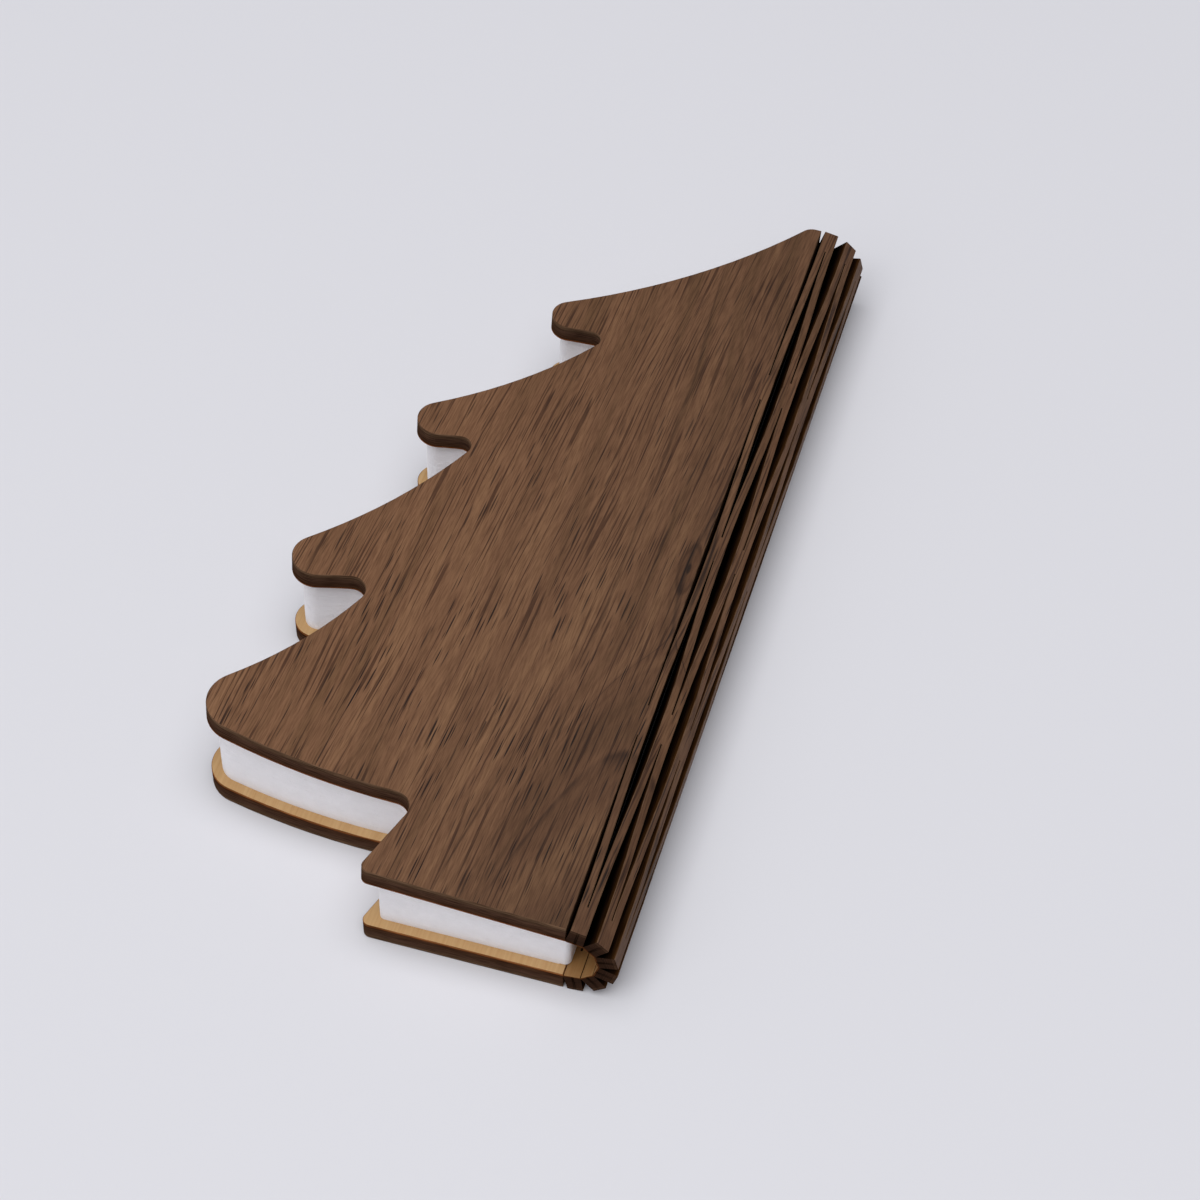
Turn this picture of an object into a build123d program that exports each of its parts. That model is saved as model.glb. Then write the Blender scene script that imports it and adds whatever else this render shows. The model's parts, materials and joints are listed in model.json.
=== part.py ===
"""A folding book lamp whose two wooden covers are each half of a fir tree.

The lamp is closed and lies on its back cover. The covers and their spine are one laser-cut board:
rows of slits let the spine bend, and each row of bridges between the slits turns a little further
than the one before it. White paper leaves and a light bar are carried by those rows, so that the
leaves fan out round the bar as the covers are folded right round, back to back.

Millimetres. While it is drawn, X is 0 at the hinge edge of the back cover and negative towards the
fore-edge, Y runs along the spine from the base of the trunk, and Z is up from the table.
"""
import math
import os
from dataclasses import dataclass

from build123d import *

# Covers
spine_length = 195.0
board_thickness = 4.1
wedge_angle = 3.57
cover_gap_open = 0.5

# Hinge: strips between slits, joined by short bridges. The folds next to the covers turn less
strip_pitch = 2.12
strip_clearance = 0.05
cover_slit = 0.6
fold_count = 12
end_fold_share = 0.5
slit_at_bridge = 0.35
end_bridge_length = 6.0
middle_bridge_length = 6.6
quarter_bridge_length = 7.5
quarter_bridge_place = 50.7
strip_end_gap = 0.1

# Paper
page_inset = 2.15
page_corner_radius = 1.3
page_peak_radius = 0.4
page_spine_place = 0.7
page_gap = 0.12
endpaper_inset = 2.15
endpaper_spine_place = -0.4
endpaper_thickness = 0.2
page_bar_clearance = 1.0

# Light bar, in the hollow of the spine
bar_start = 20.0
bar_tip_margin = 5.0
bar_half_width = 4.8
bar_clearance = 0.4
bar_wall = 0.9
bar_depth = 7.6
tape_thickness = 0.5
tape_width = 1.8
tape_length = 40.0
diffuser_thickness = 1.0
end_cap_thickness = 1.2
end_cap_plug = 1.2
ledge_reach = 0.7
ledge_height = 0.8
seat_clearance = 0.1

# Electrics inside the light bar
led_board_thickness = 0.6
led_count = 18
led_size = 2.4
led_height = 0.5
led_to_diffuser = 0.3
battery_length = 80.0
battery_width = 6.0
battery_thickness = 3.0
battery_edge_radius = 0.75
charging_board_length = 22.0
charging_board_width = 5.9
charging_board_thickness = 0.8
socket_width = 7.0
socket_height = 2.6
socket_length = 5.6
socket_wall = 0.3
socket_tongue = 0.7
socket_tongue_setback = 1.0
indicator_radius = 0.7
reed_switch_radius = 0.9
reed_switch_length = 9.0
reed_switch_setback = 1.0
lead_radius = 0.35
lead_spacing = 3.0
battery_lead_length = 4.0

# Magnets in pockets on the inner faces of the covers, as places on the cover
magnet_radius = 3.0
magnet_thickness = 2.0
magnet_clearance = 0.1
branch_magnet_place = (-66.0, 31.0)
upper_magnet_place = (-63.0, 74.0)
trunk_magnet_place = (-28.0, 12.0)
switch_magnet_place = (-10.0, 36.0)

# How far a cutter passes beyond what it cuts, and the smallest corner that is drawn
cutter_margin = 1.0
smallest_radius = 1e-6


@dataclass
class Branch:
    """One branch: circles for its tip and for the notch below it, and the arcs that run into them."""
    tip_x: float
    tip_y: float
    tip_radius: float
    notch_x: float
    notch_y: float
    notch_radius: float
    upper_edge_radius: float
    lower_edge_radius: float


# The outline of a cover. A negative edge radius is a hollow edge.
peak = (-1.2, 3.0)
foot = (-38.3, 1.6)
branches = [
    Branch(tip_x=-44.8, tip_y=150.5, tip_radius=4.0, notch_x=-38.6, notch_y=145.1, notch_radius=2.0,
           upper_edge_radius=-148.0, lower_edge_radius=-83.0),
    Branch(tip_x=-61.7, tip_y=112.1, tip_radius=4.6, notch_x=-55.5, notch_y=106.4, notch_radius=2.4,
           upper_edge_radius=-104.0, lower_edge_radius=-83.0),
    Branch(tip_x=-72.7, tip_y=68.6, tip_radius=5.2, notch_x=-63.9, notch_y=62.5, notch_radius=3.2,
           upper_edge_radius=-114.0, lower_edge_radius=-83.0),
    Branch(tip_x=-73.7, tip_y=29.4, tip_radius=7.1, notch_x=-39.0, notch_y=15.7, notch_radius=3.3,
           upper_edge_radius=-86.0, lower_edge_radius=153.0),
]


def left_of(heading):
    """The unit vector to the left of a heading in radians."""
    return Vector(-math.sin(heading), math.cos(heading))


def tangent_edge(start, end, edge_radius):
    """Headings at which a line or arc leaves one corner circle and meets the next, and its edge.

    A corner is (x, y, radius), with a negative radius where the outline turns to the right.
    """
    span = Vector(end[0] - start[0], end[1] - start[1])
    slope = math.atan2(span.Y, span.X) - math.asin((end[2] - start[2]) / span.length)
    centre_a, centre_b = Vector(start[0], start[1]), Vector(end[0], end[1])
    if edge_radius is None:
        first, last = centre_a - left_of(slope) * start[2], centre_b - left_of(slope) * end[2]
        return slope, slope, Line((first.X, first.Y), (last.X, last.Y))
    reach_a, reach_b = abs(edge_radius - start[2]), abs(edge_radius - end[2])
    along = (reach_a ** 2 - reach_b ** 2 + span.length ** 2) / (2 * span.length)
    aside = math.sqrt(max(reach_a ** 2 - along ** 2, 0))
    unit = span.normalized()
    across = Vector(-unit.Y, unit.X)
    near = (centre_a + centre_b) * 0.5 + left_of(slope) * edge_radius
    centre = min((centre_a + unit * along + across * aside * side for side in (1, -1)),
                 key=lambda point: (point - near).length)
    out = (centre - centre_a) * (1 / (edge_radius - start[2]))
    back = (centre - centre_b) * (1 / (edge_radius - end[2]))
    heading_out, heading_in = math.atan2(-out.X, out.Y), math.atan2(-back.X, back.Y)
    turn = (heading_in - heading_out + math.pi) % (2 * math.pi) - math.pi
    points = [centre - left_of(heading_out + turn * part) * edge_radius for part in (0, 0.5, 1)]
    return heading_out, heading_in, ThreePointArc(*[(point.X, point.Y) for point in points])


def rounded_face(corners, edge_radii):
    """A face bounded by corner circles and the lines or arcs that touch them in turn."""
    count = len(corners)
    joins = [tangent_edge(corners[i], corners[(i + 1) % count], edge_radii[i]) for i in range(count)]
    edges = []
    for i, corner in enumerate(corners):
        if abs(corner[2]) > smallest_radius:
            first, last = joins[i - 1][1], joins[i][0]
            turn = (last - first + math.pi) % (2 * math.pi) - math.pi
            middle = Vector(corner[0], corner[1])
            points = [middle - left_of(first + turn * part) * corner[2] for part in (0, 0.5, 1)]
            edges.append(ThreePointArc(*[(point.X, point.Y) for point in points]))
        edges.append(joins[i][2])
    return make_face(edges)


def branch_outline(inset):
    """Corner circles and edge radii from the peak down to the trunk, moved in by the inset."""
    corners = [(peak[0], spine_length - peak[1], peak[1] - inset)]
    radii = []
    for branch in branches:
        radii.append(branch.upper_edge_radius - inset)
        corners.append((branch.tip_x, branch.tip_y, branch.tip_radius - inset))
        radii.append(branch.lower_edge_radius - inset)
        corners.append((branch.notch_x, branch.notch_y, -branch.notch_radius - inset))
    return corners, radii


def cover_face():
    """The outline of a cover, up to its straight hinge edge at x = 0."""
    corners, radii = branch_outline(0)
    corners = [(0, 0, 0), (0, spine_length, 0)] + corners + [(foot[0], foot[1], foot[1])]
    return rounded_face(corners, [None, None] + radii + [None, None])


def paper_face(inset, spine_place):
    """The outline of a sheet of paper, inset from the cover and with rounded corners of its own."""
    corners, radii = branch_outline(inset)
    low = inset + page_corner_radius
    high = spine_length - inset - page_peak_radius
    spine_corners = [(spine_place - page_corner_radius, low, page_corner_radius),
                     (spine_place - page_peak_radius, high, page_peak_radius)]
    foot_corner = (foot[0], foot[1], foot[1])
    inwards = left_of(tangent_edge(branch_outline(0)[0][-1], foot_corner, None)[0])
    heel = (foot[0] + (low - foot[1]) * (1 - inwards.Y) / inwards.X, low, page_corner_radius)
    return rounded_face(spine_corners + corners + [heel], [None, None] + radii + [None, None])


# The bent spine. Link 0 is the back cover, and link fold_count is the front cover
folds_in_turn = fold_count - 2 + 2 * end_fold_share
closed_fold = (180 - wedge_angle) / folds_in_turn


def row_turn(fold, link):
    """How far a link is turned from the back cover, in degrees, by a fold between two rows."""
    if link == 0:
        return 0
    if link == fold_count:
        return fold * folds_in_turn
    return fold * (link - 1 + end_fold_share)


def fore_edge_gap(fold):
    """Space between the outer faces of the covers at the fore-edge, when folded back to back."""
    turns = [math.radians(row_turn(fold, link)) for link in range(1, fold_count + 1)]
    sagging = sum(math.sin(turn) for turn in turns[:-1]) * strip_pitch
    reach = strip_pitch - branches[-1].tip_x + branches[-1].tip_radius
    return sagging + math.sin(turns[-1]) * reach - board_thickness / 2 * (1 - math.cos(turns[-1]))


def open_fold_limit():
    """The fold, past flat, at which the outer faces of the covers nearly meet at the fore-edge."""
    low, high = 180 / folds_in_turn, 240 / folds_in_turn
    while high - low > 1e-9:
        fold = (low + high) / 2
        if fore_edge_gap(fold) > cover_gap_open:
            low = fold
        else:
            high = fold
    return low


open_fold = open_fold_limit()
fold_travel = closed_fold + open_fold

# The widest strip that clears its neighbours at either limit, and the slit that this leaves
steepest_fold = math.radians(max(open_fold, closed_fold))
strip_width = ((strip_pitch - board_thickness * math.sin(steepest_fold) - strip_clearance)
               / math.cos(steepest_fold))
full_slit = strip_pitch - strip_width
axis_start = cover_slit + strip_width / 2


def strip_axes(fold):
    """Centres of the strips, as X and Z, with the rows bent by the same fold in degrees."""
    places = [Vector(axis_start, 0, board_thickness / 2)]
    for link in range(1, fold_count):
        angle = math.radians(row_turn(fold, link))
        places.append(places[-1] + Vector(math.cos(angle), 0, math.sin(angle)) * strip_pitch)
    return places


axes_closed = strip_axes(closed_fold)
apothem = strip_pitch / 2 / math.tan(math.radians(closed_fold / 2))


def along_row(link, distance):
    """The step of the given length along a link's row, in the closed spine."""
    angle = math.radians(row_turn(closed_fold, link))
    return Vector(math.cos(angle), 0, math.sin(angle)) * distance


def link_place(link):
    """Where a link lies: X along the row, Z into the book, and its origin at mid-board."""
    middle = axes_closed[link - 1] + along_row(link, strip_pitch / 2)
    return Location(middle, (0, -row_turn(closed_fold, link), 0))


# Both covers are drawn alike, with the inner face up, and the front one is then turned over
back_place = Location((0, 0, board_thickness / 2))
front_place = Location(axes_closed[-1] + along_row(fold_count, axis_start), (0, wedge_angle, 0))


def on_back(shape):
    """A shape drawn on a flat cover, in its place on the back cover."""
    return back_place * shape


def on_front(shape):
    """A shape drawn on a flat cover, in its place on the front cover."""
    return front_place * mirror(shape, about=Plane.XY)


def box_between(low, high):
    """A box from its lowest to its highest corner."""
    size = [high[i] - low[i] for i in range(3)]
    middle = [(high[i] + low[i]) / 2 for i in range(3)]
    return Location(middle) * Box(*size)


def plate(points, thickness):
    """A flat plate with a polygon outline, centred on z = 0."""
    return extrude(make_face(Polyline(*points, close=True)), amount=thickness / 2, both=True)


# Each strip passes from one row of bridges to the next halfway between them
eighth = spine_length / 8
quarter_spans = [(eighth, 3 * eighth), (5 * eighth, 7 * eighth)]
middle_spans = [(0, eighth), (3 * eighth, 5 * eighth), (7 * eighth, spine_length)]


def bridge_in(span):
    """Ends of the bridge that holds the strips together within a span."""
    if span[0] == 0:
        return 0, end_bridge_length
    if span[1] == spine_length:
        return spine_length - end_bridge_length, spine_length
    if span in middle_spans:
        middle, length = spine_length / 2, middle_bridge_length
    elif span[0] < spine_length / 2:
        middle, length = quarter_bridge_place, quarter_bridge_length
    else:
        middle, length = spine_length - quarter_bridge_place, quarter_bridge_length
    return middle - length / 2, middle + length / 2


def trimmed(span):
    """A span without the small gap to the next piece of the same strip."""
    low = span[0] + (strip_end_gap / 2 if span[0] > 0 else 0)
    high = span[1] - (strip_end_gap / 2 if span[1] < spine_length else 0)
    return low, high


def slit_cutters(span, left_narrow, left_wide, right_narrow, right_wide):
    """Cutters for the slits above and below a bridge, narrow at the bridge and wide at the end."""
    cutters = []
    for bridge_end, span_end in zip(bridge_in(span), trimmed(span)):
        length = span_end - bridge_end
        if abs(length) < strip_end_gap:
            continue
        past = span_end + math.copysign(strip_end_gap, length)
        outline = [(left_narrow, bridge_end), (right_narrow, bridge_end), (right_wide, span_end),
                   (right_wide, past), (left_wide, past), (left_wide, span_end)]
        cutters.append(plate(outline, 2 * board_thickness))
    return cutters


def hinge_link(link):
    """One row of bridges: plates of two strips each, with the slit between them above and below."""
    reach = (strip_pitch + strip_width) / 2
    narrow, wide = slit_at_bridge / 2, full_slit / 2
    pieces = []
    for span in (middle_spans if link % 2 else quarter_spans):
        low, high = trimmed(span)
        piece = plate([(-reach, low), (reach, low), (reach, high), (-reach, high)], board_thickness)
        for cutter in slit_cutters(span, -narrow, -wide, narrow, wide):
            piece = piece - cutter
        pieces.append(link_place(link) * piece)
    return pieces


def cover_strip(span):
    """The piece of the outermost strip that a bridge joins to the cover."""
    low, high = trimmed(span)
    reach = cover_slit + strip_width
    strip = plate([(0, low), (reach, low), (reach, high), (0, high)], board_thickness)
    for cutter in slit_cutters(span, 0, 0, slit_at_bridge, cover_slit):
        strip = strip - cutter
    return strip


def magnet_disc(place, growth):
    """A disc just under the inner face of a flat cover, grown for its pocket or not at all."""
    disc = Cylinder(magnet_radius + growth, magnet_thickness + growth,
                    align=(Align.CENTER, Align.CENTER, Align.MAX))
    return Location((place[0], place[1], board_thickness / 2)) * disc


def cover_board(magnet_places):
    """A cover with its own pieces of the outermost strip and its magnet pockets."""
    board = extrude(cover_face(), amount=board_thickness / 2, both=True)
    for span in quarter_spans:
        board = board + cover_strip(span)
    for place in magnet_places:
        board = board - magnet_disc(place, magnet_clearance)
    return board


def endpaper():
    """The sheet glued to the inner face of a cover."""
    sheet = extrude(paper_face(endpaper_inset, endpaper_spine_place), amount=endpaper_thickness)
    return Location((0, 0, board_thickness / 2)) * sheet


def leaf_level(x, part):
    """Height at x of the face that lies the given part of the way from the back endpaper."""
    low = board_thickness + endpaper_thickness
    inner = (front_place * Location((0, 0, -low + board_thickness / 2))).position
    high = inner.Z - (x - inner.X) * math.tan(math.radians(wedge_angle))
    return low + (high - low) * part


# The light bar is drawn in the frame of the middle link: X across, Y along the spine, Z into the book
bar_link = fold_count // 2
bar_radius = apothem - board_thickness / 2 - bar_clearance
bar_back = board_thickness / 2 + tape_thickness
bar_front = bar_back + bar_depth
bar_end = spine_length - bar_tip_margin
base_cap_face = bar_start - end_cap_thickness
tip_cap_face = bar_end + end_cap_thickness
cavity_half_width = bar_half_width - bar_wall
diffuser_back = bar_front - diffuser_thickness
led_face = diffuser_back - led_to_diffuser - led_height
led_board_back = led_face - led_board_thickness
battery_back = led_board_back - seat_clearance - battery_thickness
socket_back = battery_back + charging_board_thickness
socket_front = socket_back + socket_height
charging_board_start = bar_start + end_cap_plug + seat_clearance
charging_board_end = charging_board_start + charging_board_length
led_board_start = base_cap_face + socket_length + seat_clearance
led_board_end = bar_end - end_cap_plug - seat_clearance
battery_start = charging_board_end + battery_lead_length

# The leaves are cut back where the light bar stands in front of the spine
bar_corner = (link_place(bar_link) * Location((bar_half_width, 0, bar_front))).position
page_cut_place = bar_corner.X - page_bar_clearance


def page_face():
    """The outline of a leaf, cut back from the base end of the light bar up to the tip."""
    cut_start = base_cap_face - page_bar_clearance
    cut = Location((page_cut_place, cut_start)) * Rectangle(
        2 * bar_depth, spine_length - cut_start, align=(Align.MIN, Align.MIN))
    return paper_face(page_inset, page_spine_place) - cut


def page_leaf(face, link):
    """One leaf of the stack: a slice that is thicker towards the fore-edge."""
    leaf_count = fold_count - 1
    beyond_fore_edge, beyond_spine = 2 * branches[-1].tip_x, strip_pitch * fold_count
    ends = (beyond_fore_edge, beyond_spine)
    lower = [(x, leaf_level(x, (link - 1) / leaf_count) + page_gap / 2) for x in ends]
    upper = [(x, leaf_level(x, link / leaf_count) - page_gap / 2) for x in reversed(ends)]
    slice_section = Plane.XZ * make_face(Polyline(*lower, *upper, close=True))
    return extrude(face, amount=4 * apothem) & extrude(slice_section, amount=-spine_length)


def bar_section(inwards):
    """The D-shaped section of the light bar, moved in from its back and sides."""
    half_width = bar_half_width - inwards
    disc = Location((0, apothem)) * Circle(bar_radius - inwards)
    body = Location((0, bar_back + inwards)) * Rectangle(
        2 * half_width, bar_depth - inwards, align=(Align.CENTER, Align.MIN))
    shoulder = Location((0, apothem)) * Rectangle(
        2 * half_width, bar_front - apothem, align=(Align.CENTER, Align.MIN))
    return (disc & body) + shoulder


def along_bar(section, start, end):
    """A section of the bar, extruded between two places along the spine."""
    return extrude(Plane.XZ.offset(-start) * section, amount=start - end)


def light_bar_housing():
    """A channel that is open to the front, with ledges inside for the light board."""
    channel = along_bar(bar_section(0), bar_start, bar_end)
    hollow = along_bar(bar_section(bar_wall), bar_start - cutter_margin, bar_end + cutter_margin)
    channel = channel - hollow
    for side in (-1, 1):
        inner = side * (cavity_half_width - ledge_reach)
        outer = side * (cavity_half_width + bar_wall / 2)
        channel = channel + box_between(
            (min(inner, outer), led_board_start, led_board_back - ledge_height),
            (max(inner, outer), led_board_end, led_board_back))
    return channel


def end_cap(outer_face, inner_face):
    """A cap for one end of the bar, with a plug that fits inside the housing."""
    inwards = math.copysign(1, inner_face - outer_face)
    plug_end = inner_face + inwards * end_cap_plug
    keep = Rectangle(4 * bar_half_width, diffuser_back - seat_clearance, align=(Align.CENTER, Align.MIN))
    plug_section = bar_section(bar_wall + seat_clearance) & keep
    cap = along_bar(bar_section(0), min(outer_face, inner_face), max(outer_face, inner_face))
    return cap + along_bar(plug_section, min(inner_face, plug_end), max(inner_face, plug_end))


def charge_indicator():
    """A clear window in the base cap, in front of the socket."""
    height = (socket_front + bar_front) / 2
    return Location((0, base_cap_face, height), (-90, 0, 0)) * Cylinder(
        indicator_radius, end_cap_thickness, align=(Align.CENTER, Align.CENTER, Align.MIN))


def base_cap():
    """The cap at the base of the trunk, with openings for the socket and the charge indicator."""
    half_width = socket_width / 2 + seat_clearance
    opening = box_between((-half_width, base_cap_face - cutter_margin, socket_back - seat_clearance),
                          (half_width, charging_board_start, socket_front + seat_clearance))
    return end_cap(base_cap_face, bar_start) - opening - charge_indicator()


def charging_socket():
    """A pressed metal shell with a contact tongue inside, its mouth flush with the base cap."""
    half_width = socket_width / 2
    inner_end = base_cap_face + socket_length
    shell = box_between((-half_width, base_cap_face, socket_back), (half_width, inner_end, socket_front))
    mouth_width = half_width - socket_wall
    mouth = box_between((-mouth_width, base_cap_face - cutter_margin, socket_back + socket_wall),
                        (mouth_width, inner_end - socket_wall, socket_front - socket_wall))
    middle = (socket_back + socket_front) / 2
    tongue_start = base_cap_face + socket_tongue_setback
    tongue = box_between((-half_width / 2, tongue_start, middle - socket_tongue / 2),
                         (half_width / 2, inner_end, middle + socket_tongue / 2))
    return shell - mouth + tongue


def charging_board():
    """The board that the socket and the reed switch are soldered to."""
    return box_between((-charging_board_width / 2, charging_board_start, battery_back),
                       (charging_board_width / 2, charging_board_end, socket_back))


def reed_switch():
    """The switch that puts the light out when the front cover's magnet comes near."""
    start = charging_board_end - reed_switch_length - reed_switch_setback
    place = (0, start, socket_back + reed_switch_radius)
    return Location(place, (-90, 0, 0)) * Cylinder(
        reed_switch_radius, reed_switch_length, align=(Align.CENTER, Align.CENTER, Align.MIN))


def battery_cell():
    """A slim pouch cell behind the light board."""
    end = battery_start + battery_length
    cell = box_between((-battery_width / 2, battery_start, battery_back),
                       (battery_width / 2, end, battery_back + battery_thickness))
    return fillet(cell.edges().filter_by(Axis.Y), min(battery_edge_radius, battery_thickness / 3))


def internal_leads():
    """Short wires from the charging board to the cell and to the light board."""
    leads = []
    for side in (-1, 1):
        x = side * lead_spacing / 2
        height = (battery_back + socket_back) / 2
        leads.append(Location((x, charging_board_end, height), (-90, 0, 0)) * Cylinder(
            lead_radius, battery_lead_length, align=(Align.CENTER, Align.CENTER, Align.MIN)))
        place = (x, charging_board_start + charging_board_length / 2, socket_back)
        leads.append(Location(place) * Cylinder(
            lead_radius, led_board_back - socket_back, align=(Align.CENTER, Align.CENTER, Align.MIN)))
    return leads


def led_board():
    """The strip board that carries the lights."""
    half_width = cavity_half_width - seat_clearance
    return box_between((-half_width, led_board_start, led_board_back),
                       (half_width, led_board_end, led_face))


def led_chips():
    """Square lights in a row down the board."""
    step = (led_board_end - led_board_start) / led_count
    middles = [led_board_start + step * (i + 0.5) for i in range(led_count)]
    return [box_between((-led_size / 2, middle - led_size / 2, led_face),
                        (led_size / 2, middle + led_size / 2, led_face + led_height)) for middle in middles]


def diffuser():
    """The milky cover over the lights."""
    half_width = cavity_half_width - seat_clearance
    return box_between((-half_width, bar_start + seat_clearance, diffuser_back),
                       (half_width, bar_end - seat_clearance, bar_front))


def mounting_tapes():
    """Foam tape between the back of the light bar and the middle row of bridges."""
    middles = [(span[0] + span[1]) / 2 for span in quarter_spans]
    return [box_between((-tape_width / 2, middle - tape_length / 2, board_thickness / 2),
                        (tape_width / 2, middle + tape_length / 2, bar_back)) for middle in middles]


closing_magnet_places = [branch_magnet_place, upper_magnet_place, trunk_magnet_place]


def build_nodes():
    """Every piece of the lamp by name, each a list of solids, in the drawing's own frame."""
    nodes = {
        "back_cover": [on_back(cover_board(closing_magnet_places))],
        "front_cover": [on_front(cover_board(closing_magnet_places + [switch_magnet_place]))],
        "endpaper_back": [on_back(endpaper())],
        "endpaper_front": [on_front(endpaper())],
        "cover_magnets_back": [on_back(magnet_disc(place, 0)) for place in closing_magnet_places],
        "cover_magnets_front": [on_front(magnet_disc(place, 0)) for place in closing_magnet_places],
        "switch_magnet": [on_front(magnet_disc(switch_magnet_place, 0))],
    }
    face = page_face()
    for link in range(1, fold_count):
        nodes[f"hinge_link_{link:02d}"] = hinge_link(link)
        nodes[f"page_leaf_{link:02d}"] = [page_leaf(face, link)]
    bar = {
        "light_bar_housing": [light_bar_housing()],
        "light_bar_diffuser": [diffuser()],
        "light_bar_base_cap": [base_cap()],
        "light_bar_tip_cap": [end_cap(tip_cap_face, bar_end)],
        "light_bar_tapes": mounting_tapes(),
        "led_board": [led_board()],
        "led_chips": led_chips(),
        "battery_cell": [battery_cell()],
        "internal_leads": internal_leads(),
        "charging_board": [charging_board()],
        "charging_socket": [charging_socket()],
        "charge_indicator": [charge_indicator()],
        "reed_switch": [reed_switch()],
    }
    for name, shapes in bar.items():
        nodes[name] = [link_place(bar_link) * shape for shape in shapes]
    return nodes


def solids_of(shapes):
    """The separate solids of a list of shapes."""
    return [solid for shape in shapes for solid in shape.solids()]


# The part's origin is the middle of the underside of its whole box
nodes = {name: Compound(solids_of(shapes)) for name, shapes in build_nodes().items()}
whole = Compound([solid for node in nodes.values() for solid in node.solids()]).bounding_box()
to_origin = Location((-(whole.min.X + whole.max.X) / 2, -(whole.min.Y + whole.max.Y) / 2, -whole.min.Z))

os.makedirs("parts", exist_ok=True)
for name, node in nodes.items():
    export_step(to_origin * node, f"parts/{name}.step")

print(f"box {whole.size.X:.2f} x {whole.size.Y:.2f} x {whole.size.Z:.2f}, nodes {len(nodes)}")
print(f"strip width {strip_width:.3f}, slit {full_slit:.3f}")
print(f"fold between rows {closed_fold:.3f} closed, {open_fold:.3f} open")
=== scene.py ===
# %% [markdown]
# # A folding book lamp shaped like half a fir tree
# The lamp is closed and lies on its back cover. Its covers and its spine are one thin wooden board:
# rows of slits turn the middle of the board into a hinge. Between the covers lies a block of white
# paper that fans out when the lamp is opened.
#
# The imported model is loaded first, as a fixed frame. Its joints are the lines that the strips of the
# spine turn about, so the bent spine can be drawn from them, and nothing has to be placed by eye.

# %% Load the frame
import json
import math

import bmesh
import bpy
from mathutils import Matrix, Vector

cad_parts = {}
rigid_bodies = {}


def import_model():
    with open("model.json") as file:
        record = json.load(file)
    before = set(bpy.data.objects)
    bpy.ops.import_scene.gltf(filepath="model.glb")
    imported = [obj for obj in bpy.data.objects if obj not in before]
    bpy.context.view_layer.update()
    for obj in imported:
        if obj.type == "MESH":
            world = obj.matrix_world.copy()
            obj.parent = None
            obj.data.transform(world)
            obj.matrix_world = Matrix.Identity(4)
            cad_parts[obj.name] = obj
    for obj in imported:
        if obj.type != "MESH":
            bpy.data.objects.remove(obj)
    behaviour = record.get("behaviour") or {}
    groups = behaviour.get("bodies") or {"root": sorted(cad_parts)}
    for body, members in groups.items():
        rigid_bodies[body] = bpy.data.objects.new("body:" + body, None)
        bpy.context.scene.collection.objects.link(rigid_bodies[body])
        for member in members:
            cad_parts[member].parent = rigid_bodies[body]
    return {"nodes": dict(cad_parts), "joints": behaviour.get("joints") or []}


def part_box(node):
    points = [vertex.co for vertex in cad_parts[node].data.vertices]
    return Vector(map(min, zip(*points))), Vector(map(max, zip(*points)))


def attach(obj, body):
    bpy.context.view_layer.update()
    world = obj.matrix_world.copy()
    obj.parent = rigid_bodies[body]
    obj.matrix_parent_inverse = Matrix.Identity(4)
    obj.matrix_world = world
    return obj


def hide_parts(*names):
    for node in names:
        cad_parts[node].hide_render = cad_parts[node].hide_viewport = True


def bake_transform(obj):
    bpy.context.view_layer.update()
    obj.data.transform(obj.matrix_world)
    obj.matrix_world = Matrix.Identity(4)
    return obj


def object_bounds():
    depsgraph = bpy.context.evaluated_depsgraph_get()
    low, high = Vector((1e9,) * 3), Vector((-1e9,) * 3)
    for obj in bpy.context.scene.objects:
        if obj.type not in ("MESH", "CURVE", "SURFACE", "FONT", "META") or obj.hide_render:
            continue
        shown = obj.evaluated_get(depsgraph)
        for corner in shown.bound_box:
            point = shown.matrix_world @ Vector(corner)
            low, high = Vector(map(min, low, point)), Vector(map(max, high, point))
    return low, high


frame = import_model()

MM = 0.001
model_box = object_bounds()
model_sides = model_box[1] - model_box[0]
print("nodes", len(frame["nodes"]), "box in mm", [round(side / MM, 1) for side in model_sides])

# %% [markdown]
# ## The bent spine
# Twelve strips lie side by side round the spine, and each turns a little further than the one before.
# A direction along the board and a direction out of it are all that is needed to place a point on any
# strip or cover, once we know how far it is turned from the back cover.

# %% Lines, turns and edges of the board
strip_axes = [Vector(joint["pos_m"]) for joint in frame["joints"]]
rows = [frame["joints"][0]["parent"]] + [joint["child"] for joint in frame["joints"]]
strip_count = len(strip_axes)
pitch = (strip_axes[1] - strip_axes[0]).length
row_turns = [0.0]
for near, far in zip(strip_axes, strip_axes[1:]):
    row_turns.append(math.atan2((far - near).z, (far - near).x))
row_turns.append(row_turns[-1] + row_turns[1])

tolerance = 0.01 * MM
back_low, back_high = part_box("back_cover")
half_board = (back_high.z - back_low.z) / 2
spine_start, spine_end = back_low.y, back_high.y
spine_length = spine_end - spine_start
base_corners = [vertex.co for vertex in frame["nodes"]["back_cover"].data.vertices
                if vertex.co.y < spine_start + tolerance]
hinge_edge = max(corner.x for corner in base_corners)
hinge_edge_to_axis = strip_axes[0].x - hinge_edge
sheet_width = 2 * hinge_edge_to_axis + (strip_count - 1) * pitch


def directions(turn):
    """Directions along the board and out of it, where it is turned by an angle in radians."""
    return Vector((math.cos(turn), 0, math.sin(turn))), Vector((math.sin(turn), 0, -math.cos(turn)))


def on_back_cover(inwards, up_spine, out):
    """A point on the flat back cover, measured from its hinge edge."""
    along, outwards = directions(0)
    edge = strip_axes[0] - along * hinge_edge_to_axis
    return edge - along * inwards + outwards * out + Vector((0, spine_start + up_spine, 0))


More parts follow.
